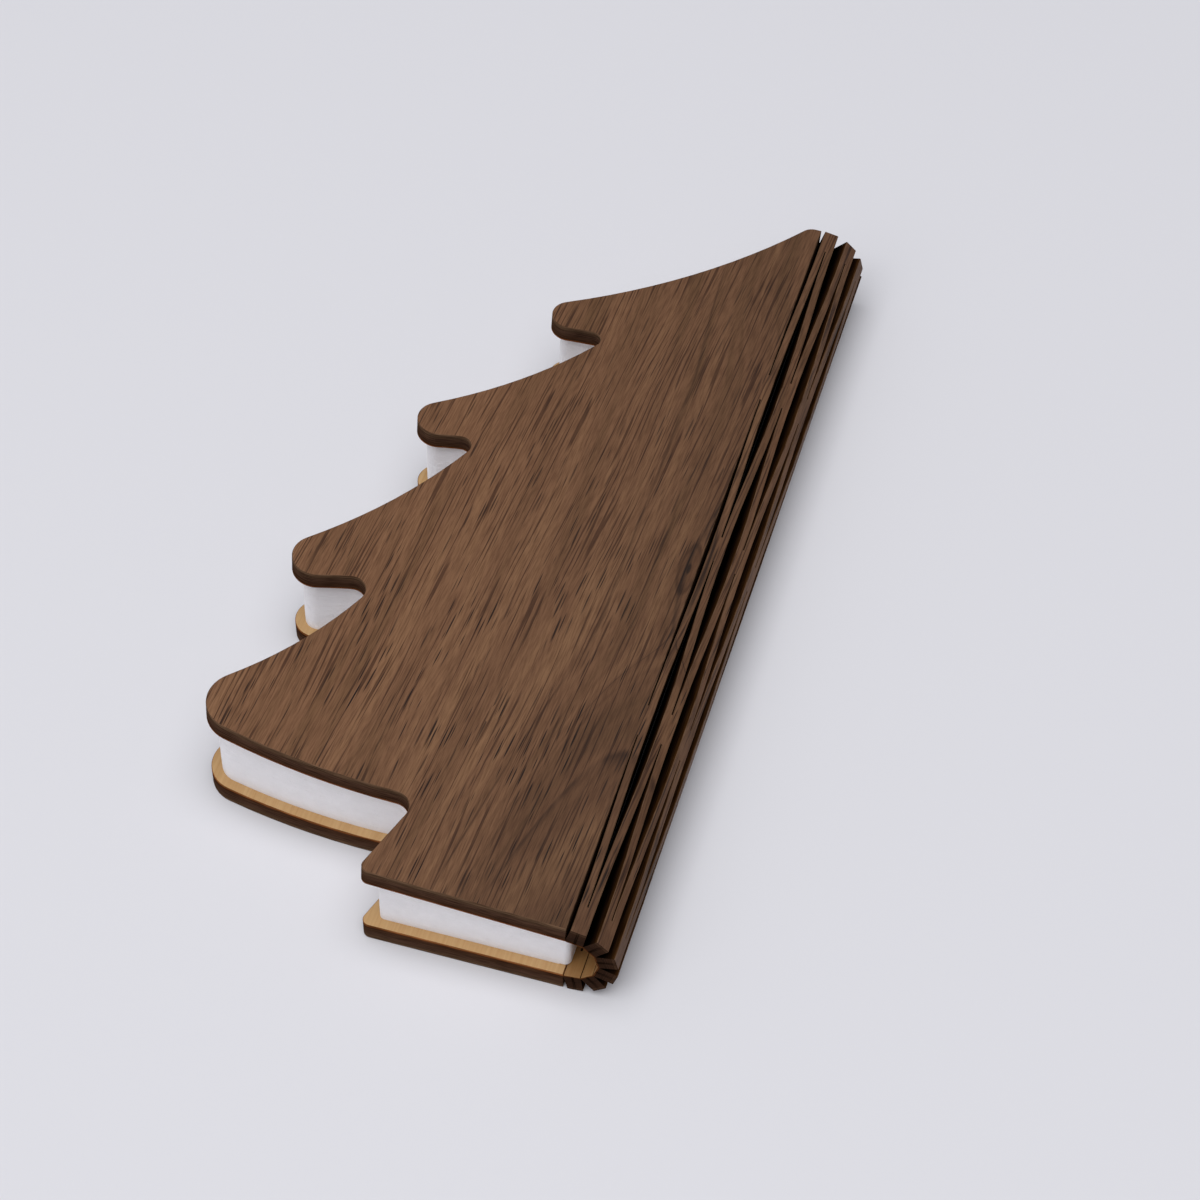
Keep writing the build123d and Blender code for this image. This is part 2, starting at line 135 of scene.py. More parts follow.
def on_front_cover(inwards, up_spine, out):
    """The same point on the front cover."""
    along, outwards = directions(row_turns[-1])
    edge = strip_axes[-1] + along * hinge_edge_to_axis
    return edge + along * inwards + outwards * out + Vector((0, spine_start + up_spine, 0))


print("strips", strip_count, "pitch", round(pitch / MM, 3))
print("rows turned by", [round(math.degrees(turn), 1) for turn in row_turns])

# %% [markdown]
# ## Nodes and finishes
# Every finish is a small node tree. One function adds a node, sets its properties and fills or links
# its sockets, so that a tree reads from top to bottom like a recipe. Colours are written as the hex
# values of a paint chart and turned to linear light once.


# %% Colours and nodes
def linear(hex_colour):
    """A hex colour as linear red, green, blue and alpha."""
    channels = [int(hex_colour[i:i + 2], 16) / 255 for i in (1, 3, 5)]
    return [c / 12.92 if c <= 0.04045 else ((c + 0.055) / 1.055) ** 2.4 for c in channels] + [1.0]


def add_node(tree, kind, sockets=None, **settings):
    """Adds a node with its settings, and fills or links the sockets that are named or numbered."""
    node = tree.nodes.new(kind)
    for name, value in settings.items():
        setattr(node, name, value)
    for socket, value in (sockets or {}).items():
        if isinstance(value, bpy.types.NodeSocket):
            tree.links.new(value, node.inputs[socket])
        else:
            node.inputs[socket].default_value = value
    return node


def add_ramp(tree, fac, stops):
    """A colour ramp from (place, colour) stops."""
    ramp = add_node(tree, "ShaderNodeValToRGB", {0: fac})
    elements = ramp.color_ramp.elements
    while len(elements) < len(stops):
        elements.new(0.5)
    for element, (place, colour) in zip(elements, stops):
        element.position = place
        element.color = linear(colour)
    return ramp


def new_finish(name, **values):
    """An empty material with one Principled shader, and the values that are the same all over it."""
    material = bpy.data.materials.new(name)
    material.use_nodes = True
    tree = material.node_tree
    tree.nodes.clear()
    shader = add_node(tree, "ShaderNodeBsdfPrincipled",
                      {socket.replace("_", " "): value for socket, value in values.items()})
    add_node(tree, "ShaderNodeOutputMaterial", {"Surface": shader.outputs[0]})
    return material, tree, shader


print("a mid grey is", round(linear("#808080")[0], 3), "in linear light")

# %% [markdown]
# ## Walnut veneer
# The faces are oiled American walnut, a veneer half a millimetre thick. A slice along a log shows its
# growth rings as nested arches, with nearly straight lines beside them. Here the arches open downwards
# from the front cover's hinge edge, and a small knot lies above them. The arches are parabolas: the
# square of the distance beside the spine, less a share of the height below the top of an arch, stays
# the same along each of them. The pattern is drawn on the flat board's own coordinates, so that it
# runs on over every strip. The sizes in this finish are in millimetres, because the coordinates are
# scaled to them first.

# %% Growth rings
arch_top, arch_slimness, arch_rounding = 67.0, 0.145, 8.0
lean_start, lean_end, tip_shift, lean_reach = 138.0, 178.0, 10.0, 25.0
knot_beside, knot_up, knot_stretch = 1.7, 90.4, 3.5
knot_size, knot_bulge, knot_reach = 2.6, 3.0, 8.0

walnut, tree, shader = new_finish("oiled_walnut_veneer", Roughness=0.62)
shader.inputs["Specular IOR Level"].default_value = 0.25
hinge_place = sheet_width / MM
flat = add_node(tree, "ShaderNodeUVMap", uv_map="board")
board = add_node(tree, "ShaderNodeVectorMath", {0: flat.outputs[0], 3: 1 / MM}, operation="SCALE")
place = add_node(tree, "ShaderNodeSeparateXYZ", {0: board.outputs[0]})
up_board = place.outputs["Y"]
beside = add_node(tree, "ShaderNodeMath", {0: place.outputs["X"], 1: hinge_place}, operation="SUBTRACT")
apart = add_node(tree, "ShaderNodeMath", {0: beside.outputs[0]}, operation="ABSOLUTE")
tip_lean = add_node(tree, "ShaderNodeMapRange", {
    "Value": up_board, "From Min": lean_start, "From Max": lean_end, "To Max": tip_shift},
    interpolation_type="SMOOTHSTEP")
spine_share = add_node(tree, "ShaderNodeMapRange", {
    "Value": apart.outputs[0], "From Min": lean_reach, "From Max": 0.0}, interpolation_type="SMOOTHSTEP")
lean = add_node(tree, "ShaderNodeMath", {
    0: tip_lean.outputs[0], 1: spine_share.outputs[0]}, operation="MULTIPLY")
leaned = add_node(tree, "ShaderNodeMath", {0: beside.outputs[0], 1: lean.outputs[0]}, operation="SUBTRACT")
square = add_node(tree, "ShaderNodeMath", {0: leaned.outputs[0], 1: 2.0}, operation="POWER")
below = add_node(tree, "ShaderNodeMath", {0: arch_top, 1: up_board}, operation="SUBTRACT")
below = add_node(tree, "ShaderNodeMath", {
    0: below.outputs[0], 1: 0.0, 2: arch_rounding}, operation="SMOOTH_MAX")
arch = add_node(tree, "ShaderNodeMath", {
    0: below.outputs[0], 1: -1 / arch_slimness, 2: square.outputs[0]}, operation="MULTIPLY_ADD")
arch_side = add_node(tree, "ShaderNodeMath", {0: arch.outputs[0]}, operation="SIGN")
arch_depth = add_node(tree, "ShaderNodeMath", {0: arch.outputs[0]}, operation="ABSOLUTE")
arch_depth = add_node(tree, "ShaderNodeMath", {0: arch_depth.outputs[0]}, operation="SQRT")
ring = add_node(tree, "ShaderNodeMath", {
    0: arch_side.outputs[0], 1: arch_depth.outputs[0]}, operation="MULTIPLY")
from_knot = add_node(tree, "ShaderNodeVectorMath", {
    0: board.outputs[0], 1: (hinge_place + knot_beside, knot_up, 0)}, operation="SUBTRACT")
from_knot = add_node(tree, "ShaderNodeVectorMath", {
    0: from_knot.outputs[0], 1: (1, 1 / knot_stretch, 0)}, operation="MULTIPLY")
from_knot = add_node(tree, "ShaderNodeVectorMath", {0: from_knot.outputs[0]}, operation="LENGTH")
bulge = add_node(tree, "ShaderNodeMapRange", {
    "Value": from_knot.outputs["Value"], "From Max": knot_reach, "To Min": knot_bulge, "To Max": 0.0},
    interpolation_type="SMOOTHSTEP")
ring = add_node(tree, "ShaderNodeMath", {0: ring.outputs[0], 1: bulge.outputs[0]}, operation="SUBTRACT")
other_side = add_node(tree, "ShaderNodeMath", {0: beside.outputs[0]}, operation="SIGN")
rings = add_node(tree, "ShaderNodeCombineXYZ", {
    "X": ring.outputs[0], "Y": up_board, "Z": other_side.outputs[0]})
print("ring pattern has", len(tree.nodes), "nodes")

# %% [markdown]
# Across the rings the brown gets lighter and darker every few millimetres, and it is lighter as a
# whole away from the spine. Three darker lines mark the ends of growing seasons, the middle one as
# thin as a hair, and the knot has a dark heart in a faint ring. Fibres, long thin lines and pores
# don't follow the arches: they run straight up the board, with a slight lean. Fibres lie a third of a
# millimetre apart. Pores are dark dashes a third of a millimetre wide and up to twenty times as long,
# and fainter towards the tip: each cell of a stretched Voronoi pattern holds at most one.

# %% Walnut colours
# How wide and how long the features of the grain are
band_size, patch_size, wander_size = (5, 110), (4, 14), (12, 60)
fibre_size, line_size, pore_cell, pore_group = (0.3, 5), (0.4, 26), (0.7, 14), (5, 22)
grain_lean, wander_reach, pore_relief = math.radians(-3), 3.0, 0.05 * MM
# Where the colours change: across the rings, away from the spine, and up the board
ring_span, shade_start, shade_end, fade_start, fade_end = 20.0, 5.0, 60.0, 50.0, 175.0

bands = add_node(tree, "ShaderNodeTexNoise", {
    "Vector": add_node(tree, "ShaderNodeMapping", {
        "Vector": rings.outputs[0], "Scale": (1 / band_size[0], 1 / band_size[1], 3)}).outputs[0],
    "Scale": 1.0, "Detail": 3.0, "Roughness": 0.6})
tone = add_ramp(tree, bands.outputs["Fac"], [(0.30, "#68492f"), (0.5, "#7a563c"), (0.68, "#8a6547")])

season = add_node(tree, "ShaderNodeMapRange", {
    "Value": ring.outputs[0], "From Min": -ring_span, "From Max": ring_span})
season = add_ramp(tree, season.outputs[0], [
    (0.05, "#e6e3e0"), (0.15, "#e6e3e0"), (0.17, "#9a928b"), (0.18, "#e6e3e0"), (0.46, "#ebe8e5"),
    (0.486, "#77706a"), (0.497, "#f2f0ee"), (0.7, "#ffffff"), (0.85, "#ffffff"), (0.866, "#b5aea7"),
    (0.875, "#ffffff")])
patches = add_node(tree, "ShaderNodeTexNoise", {
    "Vector": add_node(tree, "ShaderNodeMapping", {
        "Vector": board.outputs[0], "Scale": (1 / patch_size[0], 1 / patch_size[1], 1)}).outputs[0],
    "Scale": 1.0, "Detail": 2.0})
patches = add_node(tree, "ShaderNodeMapRange", {
    "Value": patches.outputs["Fac"], "From Min": 0.35, "From Max": 0.55, "To Min": 0.4, "To Max": 1.0})
tone = add_node(tree, "ShaderNodeMix", {0: patches.outputs[0], 6: tone.outputs[0], 7: season.outputs[0]},
                data_type="RGBA", blend_type="MULTIPLY")
shade = add_node(tree, "ShaderNodeMapRange", {
    "Value": apart.outputs[0], "From Min": shade_start, "From Max": shade_end})
shade = add_ramp(tree, shade.outputs[0], [(0.0, "#dddddd"), (1.0, "#ffffff")])
tone = add_node(tree, "ShaderNodeMix", {0: 1.0, 6: tone.outputs[2], 7: shade.outputs[0]},
                data_type="RGBA", blend_type="MULTIPLY")
knot = add_node(tree, "ShaderNodeMapRange", {
    "Value": from_knot.outputs["Value"], "From Max": knot_size})
knot = add_ramp(tree, knot.outputs[0], [
    (0.0, "#4c433c"), (0.12, "#766c63"), (0.2, "#f0ece8"), (0.56, "#ebe7e3"), (0.66, "#beb6ae"),
    (0.74, "#c2bab2"), (0.85, "#ffffff")])
tone = add_node(tree, "ShaderNodeMix", {0: 0.85, 6: tone.outputs[2], 7: knot.outputs[0]},
                data_type="RGBA", blend_type="MULTIPLY")

straight = add_node(tree, "ShaderNodeMapping", {
    "Vector": board.outputs[0], "Rotation": (0, 0, grain_lean)})
wander = add_node(tree, "ShaderNodeTexNoise", {
    "Vector": add_node(tree, "ShaderNodeMapping", {
        "Vector": straight.outputs[0], "Scale": (1 / wander_size[0], 1 / wander_size[1], 1)}).outputs[0],
    "Scale": 1.0, "Detail": 1.0})
drift = add_node(tree, "ShaderNodeVectorMath", {
    0: wander.outputs["Color"], 1: (wander_reach, 0.0, 0.0)}, operation="MULTIPLY")
straight = add_node(tree, "ShaderNodeVectorMath", {
    0: straight.outputs[0], 1: drift.outputs[0]}, operation="ADD")
fibres = add_node(tree, "ShaderNodeTexNoise", {
    "Vector": add_node(tree, "ShaderNodeMapping", {
        "Vector": straight.outputs[0], "Scale": (1 / fibre_size[0], 1 / fibre_size[1], 1)}).outputs[0],
    "Scale": 1.0, "Detail": 2.0, "Roughness": 0.6})
streak = add_ramp(tree, fibres.outputs["Fac"], [(0.36, "#d8d1ca"), (0.6, "#ffffff")])
tone = add_node(tree, "ShaderNodeMix", {0: 1.0, 6: tone.outputs[2], 7: streak.outputs[0]},
                data_type="RGBA", blend_type="MULTIPLY")
lines = add_node(tree, "ShaderNodeTexNoise", {
    "Vector": add_node(tree, "ShaderNodeMapping", {
        "Vector": straight.outputs[0], "Scale": (1 / line_size[0], 1 / line_size[1], 1)}).outputs[0],
    "Scale": 1.0, "Detail": 0.0})
line = add_ramp(tree, lines.outputs["Fac"], [(0.6, "#ffffff"), (0.68, "#b2a79e")])
tone = add_node(tree, "ShaderNodeMix", {0: 1.0, 6: tone.outputs[2], 7: line.outputs[0]},
                data_type="RGBA", blend_type="MULTIPLY")
pores = add_node(tree, "ShaderNodeTexVoronoi", {
    "Vector": add_node(tree, "ShaderNodeMapping", {
        "Vector": straight.outputs[0], "Scale": (1 / pore_cell[0], 1 / pore_cell[1], 1)}).outputs[0],
    "Scale": 1.0}, voronoi_dimensions="2D")
pore_chance = add_node(tree, "ShaderNodeSeparateXYZ", {0: pores.outputs["Color"]})
pore_reach = add_node(tree, "ShaderNodeMath", {
    0: pore_chance.outputs["X"], 1: 0.3, 2: pores.outputs["Distance"]}, operation="MULTIPLY_ADD")
dash = add_ramp(tree, pore_reach.outputs[0], [(0.2, "#5b4f46"), (0.31, "#ffffff")])
groups = add_node(tree, "ShaderNodeTexNoise", {
    "Vector": add_node(tree, "ShaderNodeMapping", {
        "Vector": straight.outputs[0], "Scale": (1 / pore_group[0], 1 / pore_group[1], 1)}).outputs[0],
    "Scale": 1.0, "Detail": 1.0})
pore_share = add_node(tree, "ShaderNodeMapRange", {
    "Value": groups.outputs["Fac"], "From Min": 0.4, "From Max": 0.58, "To Min": 0.15, "To Max": 1.0})
pore_depth = add_node(tree, "ShaderNodeMapRange", {
    "Value": up_board, "From Min": fade_start, "From Max": fade_end, "To Min": 1.0, "To Max": 0.46})
pore_share = add_node(tree, "ShaderNodeMath", {
    0: pore_share.outputs[0], 1: pore_depth.outputs[0]}, operation="MULTIPLY")
tone = add_node(tree, "ShaderNodeMix", {0: pore_share.outputs[0], 6: tone.outputs[2], 7: dash.outputs[0]},
                data_type="RGBA", blend_type="MULTIPLY")
tree.links.new(tone.outputs[2], shader.inputs["Base Color"])
relief = add_node(tree, "ShaderNodeBump", {
    "Strength": 0.2, "Distance": pore_relief, "Height": dash.outputs[0]})
tree.links.new(relief.outputs[0], shader.inputs["Normal"])
print("walnut has", len(tree.nodes), "nodes")

# %% [markdown]
# ## Laser-cut edge
# A laser burns the cut edge to a dark brown that still shows the layers of the board: the walnut is a
# lighter band along the outer face, the fibreboard core is the darkest, and the pale veneer is a thin
# orange-brown line along the inner face. In the narrow slits the walls face each other; they are burnt
# like the edges, and painted shade makes them nearly black, apart from a little brown at both rims. The
# ends of the strips and of the bridges get a darker ramp than the edges of the covers.

# %% Burnt edges, slit walls and strip ends
soot_per_metre = (200, 4500, 1)
layer_colours = {
    "laser_cut_edge": [(0.0, "#96643f"), (0.08, "#8c5129"), (0.12, "#4e3322"), (0.35, "#4b3427"),
                       (0.62, "#563e31"), (0.82, "#5a4433"), (0.87, "#6a523f"), (1.0, "#6b523f")],
    # Slit walls: burnt brown at both rims, with painted shade making the middle nearly black
    "shaded_slit_wall": [(0.0, "#2a170c"), (0.1, "#060403"), (0.45, "#080503"), (0.72, "#20130a"),
                        (0.9, "#38220f"), (1.0, "#4c3018")],
    # Ends of strips and bridges: the same layers, a little darker than the cover edges
    "darker_strip_end": [(0.0, "#6e4427"), (0.06, "#5c3821"), (0.11, "#36241a"), (0.4, "#38271e"),
                          (0.75, "#402c21"), (0.87, "#4c3729"), (1.0, "#503a2c")],
}
edge_finishes = []
for name, stops in layer_colours.items():
    finish, tree, shader = new_finish(name, Roughness=0.8)
    shader.inputs["Specular IOR Level"].default_value = 0.0
    flat = add_node(tree, "ShaderNodeUVMap", uv_map="board")
    place = add_node(tree, "ShaderNodeSeparateXYZ", {0: flat.outputs[0]})
    depth = add_node(tree, "ShaderNodeMapRange", {
        "Value": place.outputs["Y"], "From Min": -half_board, "From Max": half_board})
    layers = add_ramp(tree, depth.outputs[0], stops)
    soot = add_node(tree, "ShaderNodeTexNoise", {
        "Vector": add_node(tree, "ShaderNodeMapping", {
            "Vector": flat.outputs[0], "Scale": soot_per_metre}).outputs[0],
        "Scale": 1.0, "Detail": 3.0})
    soot = add_ramp(tree, soot.outputs["Fac"], [(0.36, "#7a6f66"), (0.6, "#ffffff")])
    layers = add_node(tree, "ShaderNodeMix", {0: 0.8, 6: layers.outputs[0], 7: soot.outputs[0]},
                      data_type="RGBA", blend_type="MULTIPLY")
    tree.links.new(layers.outputs[2], shader.inputs["Base Color"])
    edge_finishes.append(finish)
burnt_edge, slit_wall, strip_end = edge_finishes
print("edge finishes", [finish.name for finish in edge_finishes])

# %% [markdown]
# ## Inner veneer
# The side that faces the paper is plain pale veneer. It shows only as a narrow tan rim round the paper
# and inside the spine, where painted shade darkens the inner faces of the strips.

# %% Pale veneer
hollow_shade_margin = 0.15 * MM
fibres_per_metre = (1500, 60, 1)
pale_veneer, tree, shader = new_finish("pale_basswood_veneer", Roughness=0.6)
flat = add_node(tree, "ShaderNodeUVMap", uv_map="board")
fibres = add_node(tree, "ShaderNodeTexNoise", {
    "Vector": add_node(tree, "ShaderNodeMapping", {
        "Vector": flat.outputs[0], "Scale": fibres_per_metre}).outputs[0],
    "Scale": 1.0, "Detail": 3.0})
tone = add_ramp(tree, fibres.outputs["Fac"], [(0.3, "#b48b58"), (0.7, "#c39f6f")])
# Painted shade inside the spine: the inner faces of strips and bridges, away from the covers, are darkened
place = add_node(tree, "ShaderNodeSeparateXYZ", {0: flat.outputs[0]})
not_front = add_node(tree, "ShaderNodeMath", {
    0: place.outputs["X"], 1: sheet_width - hollow_shade_margin}, operation="LESS_THAN")
not_back = add_node(tree, "ShaderNodeMath", {
    0: place.outputs["X"], 1: hollow_shade_margin}, operation="GREATER_THAN")
hollow_shade = add_node(tree, "ShaderNodeMath", {
    0: not_front.outputs[0], 1: not_back.outputs[0]}, operation="MULTIPLY")
tone = add_node(tree, "ShaderNodeMix", {0: hollow_shade.outputs[0], 6: tone.outputs[0], 7: linear("#c6b79f")},
                data_type="RGBA", blend_type="MULTIPLY")
tree.links.new(tone.outputs[2], shader.inputs["Base Color"])
print("pale veneer has", len(tree.nodes), "nodes")

# %% [markdown]
# ## Covers
# Each cover is one flat outline, pushed out to the thickness of the board. The outline is read from
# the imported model's flat face, so that it is exact, and every edge is eased by a tenth of a
# millimetre, because a perfectly sharp edge never catches the light.


# %% Outlines
def flat_outline(node, way):
    """The outline of the faces of a CAD node that look the given way, as ordered points."""
    work = bmesh.new()
    work.from_mesh(frame["nodes"][node].data)
    bmesh.ops.remove_doubles(work, verts=work.verts, dist=tolerance / 10)
    chosen = {face for face in work.faces if face.normal.dot(way) > 0.9999}
    following = {}
    for face in chosen:
        for loop in face.loops:
            if not any(other in chosen and other is not face for other in loop.edge.link_faces):
                following[loop.vert] = loop.link_loop_next.vert
    start = next(iter(following))
    points, vertex = [start.co.copy()], following[start]
    while vertex is not start:
        points.append(vertex.co.copy())
        vertex = following[vertex]
    work.free()
    return points


def moved_in(outline, distance):
    """An outline moved inwards by a small distance. Its points run clockwise."""
    smallest_square = 0.3
    moved = []
    for i, point in enumerate(outline):
        before = (point - outline[i - 1]).normalized()
        after = (outline[(i + 1) % len(outline)] - point).normalized()
        inward = Vector((before.y + after.y, -before.x - after.x)).normalized()
        square = max(inward.dot(Vector((before.y, -before.x))), smallest_square)
        moved.append(point + inward * (distance / square))
    return moved


cover_outline = []
for point in reversed(flat_outline("back_cover", Vector((0, 0, -1)))):
    inwards, up_spine = hinge_edge - point.x, point.y - spine_start
    at_end = min(up_spine, spine_length - up_spine) < tolerance
    if inwards > tolerance or (inwards > -tolerance and at_end):
        cover_outline.append(Vector((max(inwards, 0), up_spine)))
cover_reach = max(point.x for point in cover_outline)
print("cover outline has", len(cover_outline), "points, reach", round(cover_reach / MM, 2))


# %% Board pieces
edge_ease = 0.12 * MM
board_finishes = [walnut, burnt_edge, pale_veneer, slit_wall, strip_end]
on_outside, on_edge, on_inside, on_wall, on_end = range(len(board_finishes))


def finished_mesh(name, work, uv_of):
    """Turns a bmesh into an object with the board's finishes and its own flat coordinates."""
    bmesh.ops.recalc_face_normals(work, faces=work.faces)
    layer = work.loops.layers.uv.new("board")
    for face in work.faces:
        for loop in face.loops:
            loop[layer].uv = uv_of(face, loop.vert)
    mesh = bpy.data.meshes.new(name)
    work.to_mesh(mesh)
    work.free()
    for finish in board_finishes:
        mesh.materials.append(finish)
    piece = bpy.data.objects.new(name, mesh)
    bpy.context.scene.collection.objects.link(piece)
    return piece


def cover_board(name, place, sheet_start, sheet_way):
    """A flat cover: two faces, and three bands of edge that ease from one to the other."""
    work = bmesh.new()
    eased_outline = moved_in(cover_outline, edge_ease)
    levels = [(eased_outline, half_board), (cover_outline, half_board - edge_ease),
              (cover_outline, edge_ease - half_board), (eased_outline, -half_board)]
    flat_place = {}
    rings = []
    for outline, out in levels:
        run, ring = 0.0, []
        for i, point in enumerate(outline):
            vertex = work.verts.new(place(point.x, point.y, out))
            run += (point - outline[i - 1]).length
            flat_place[vertex] = (point, out, run)
            ring.append(vertex)
        rings.append(ring)
    outer_face = work.faces.new(rings[0])
    outer_face.material_index = on_outside
    inner_face = work.faces.new(reversed(rings[-1]))
    inner_face.material_index = on_inside
    for upper, lower in zip(rings, rings[1:]):
        for i in range(len(cover_outline)):
            band = work.faces.new([upper[i - 1], lower[i - 1], lower[i], upper[i]])
            band.material_index = on_edge

    def uv_of(face, vertex):
        point, out, run = flat_place[vertex]
        if face.material_index == on_edge:
            return run, out
        return sheet_start + sheet_way * point.x, point.y

    return finished_mesh(name, work, uv_of)


back_board = cover_board("walnut_back_cover", on_back_cover, 0, -1)
front_board = cover_board("walnut_front_cover", on_front_cover, sheet_width, 1)
for piece, body in ((back_board, "back_cover"), (front_board, "front_cover")):
    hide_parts(body)
    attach(piece, body)
print("covers made, board is", round(2 * half_board / MM, 2), "mm thick")

# %% [markdown]
# ## Strips of the spine
# The strips are equally wide, apart from the two next to the covers, which are a hair narrower. What
# changes along a strip is what it is joined to: at one bridge it lies flat against the strip before
# it, and at the next bridge flat against the strip after it, so between them it twists by one bend.
# It also weaves sideways a little, which opens the slits to the long lens shapes that let the board
# bend.
#
# A piece that runs from one bridge to the next follows one row at its start and the next row at its
# end. The frame's blend does that, with the same smooth step as the twist here.
#
# The walls of a slit lean a little towards each other, so that inside the closed spine the strips
# touch and no light shines through. The walls that face a cover lean most, because the board folds
# only half as far there. The inner corners are eased a little more than the outer ones, where
# neighbouring strips meet.

# %% Bridges and slits
strip_width = 1.455 * MM
outer_strip_width = 1.4 * MM
cover_wall_lean, wall_lean = 0.35 * MM, 0.08 * MM
inner_ease = 0.18 * MM
cut_width = 0.22 * MM
end_bridge, middle_bridge, quarter_bridge = 6.0 * MM, 6.6 * MM, 7.5 * MM
quarter_place = 50.7 * MM
twist_steps = 24


def bridge_about(place, length, even):
    """Where a bridge starts and ends along the spine, and whether it is on an even row."""
    return place - length / 2, place + length / 2, even


bridges = [
    (0, end_bridge, False),
    bridge_about(quarter_place, quarter_bridge, True),
    bridge_about(spine_length / 2, middle_bridge, False),
    bridge_about(spine_length - quarter_place, quarter_bridge, True),
    (spine_length - end_bridge, spine_length, False),
]
middle_row_place = sheet_width / 2
half_count = strip_count / 2
strips_and_cuts = outer_strip_width + (half_count - 1) * strip_width + (half_count + 1) / 2 * cut_width
open_slit = (middle_row_place - strips_and_cuts) / (half_count / 2)
even_pair_pitch = 2 * strip_width + cut_width + open_slit


def width_of(strip):
    """The width of a strip on its outer face: the two next to the covers are a little narrower."""
    return outer_strip_width if strip in (1, strip_count) else strip_width


def row_place(row, even):
    """The middle of a row of bridges on the flat board."""
    if not even:
        return hinge_edge_to_axis + (row - 0.5) * pitch
    return middle_row_place + (row - half_count) / 2 * even_pair_pitch


def strip_at_bridge(strip, even):
    """The row that a strip is joined to at a bridge, and how far it is then moved along that row."""
    row = strip if (strip % 2 == 0) == even else strip - 1
    side = -1 if row == strip else 1
    usual = hinge_edge_to_axis + (strip - 1) * pitch
    if row == 0:
        place = cut_width + width_of(strip) / 2
    elif row == strip_count:
        place = sheet_width - cut_width - width_of(strip) / 2
    else:
        place = row_place(row, even) + side * (cut_width + width_of(strip)) / 2
    return row, place - usual


def smooth_step(part):
    """The same easing that the frame uses between two bodies."""
    part = min(max(part, 0), 1)
    return part * part * (3 - 2 * part)


def strip_piece(strip, first, last):
    """One strip between the middles of two bridges, as rings of eight points."""
    row_a, shift_a = strip_at_bridge(strip, first[2])
    row_b, shift_b = strip_at_bridge(strip, last[2])
    turn_a, turn_b = row_turns[row_a], row_turns[row_b]
    low = 0 if first[0] == 0 else (first[0] + first[1]) / 2
    high = spine_length if last[1] == spine_length else (last[0] + last[1]) / 2
    free_length = last[0] - first[1]
    places = [low] + [first[1] + free_length * i / twist_steps for i in range(twist_steps + 1)] + [high]
    wide, thick = width_of(strip) / 2, half_board
    low_wide = wide + (cover_wall_lean if strip == 1 else wall_lean)
    high_wide = wide + (cover_wall_lean if strip == strip_count else wall_lean)
    section = [(wide - edge_ease, thick), (wide, thick - edge_ease),
               (high_wide, inner_ease - thick), (high_wide - inner_ease, -thick),
               (inner_ease - low_wide, -thick), (-low_wide, inner_ease - thick),
               (-wide, thick - edge_ease), (edge_ease - wide, thick)]
    finishes = [on_edge, on_wall, on_wall, on_inside, on_wall, on_wall, on_edge, on_outside]
    work = bmesh.new()
    flat_place = {}
    rings = []
    for up_spine in places:
        part = smooth_step((up_spine - first[1]) / free_length)
        shift = shift_a + (shift_b - shift_a) * part
        along, outwards = directions(turn_a + (turn_b - turn_a) * part)
        centre = strip_axes[strip - 1] + along * shift + Vector((0, spine_start + up_spine, 0))
        ring = []
        for across, out in section:
            vertex = work.verts.new(centre + along * across + outwards * out)
            sheet = hinge_edge_to_axis + (strip - 1) * pitch + shift + across
            flat_place[vertex] = (sheet, up_spine, across, out)
            ring.append(vertex)
        rings.append(ring)
    for near, far in zip(rings, rings[1:]):
        for i, finish in enumerate(finishes):
            j = (i + 1) % len(section)
            work.faces.new([near[i], near[j], far[j], far[i]]).material_index = finish
    for ring in (rings[0], rings[-1]):
        work.faces.new(ring).material_index = on_end

    def uv_of(face, vertex):
        sheet, up_spine, across, out = flat_place[vertex]
        if face.material_index in (on_edge, on_wall, on_end):
            return up_spine + across, out
        return sheet, up_spine

    piece = finished_mesh(f"spine_strip_{strip:02d}_{bridges.index(first) + 1}", work, uv_of)
    links = [f"hinge_link_{row:02d}" for row in (row_a, row_b) if 0 < row < strip_count]
    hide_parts(*links)
    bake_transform(piece)
    return piece


strips = [strip_piece(strip, first, last)
          for strip in range(1, strip_count + 1) for first, last in zip(bridges, bridges[1:])]
print("strip pieces", len(strips), "open slit", round(open_slit / MM, 2), "mm")


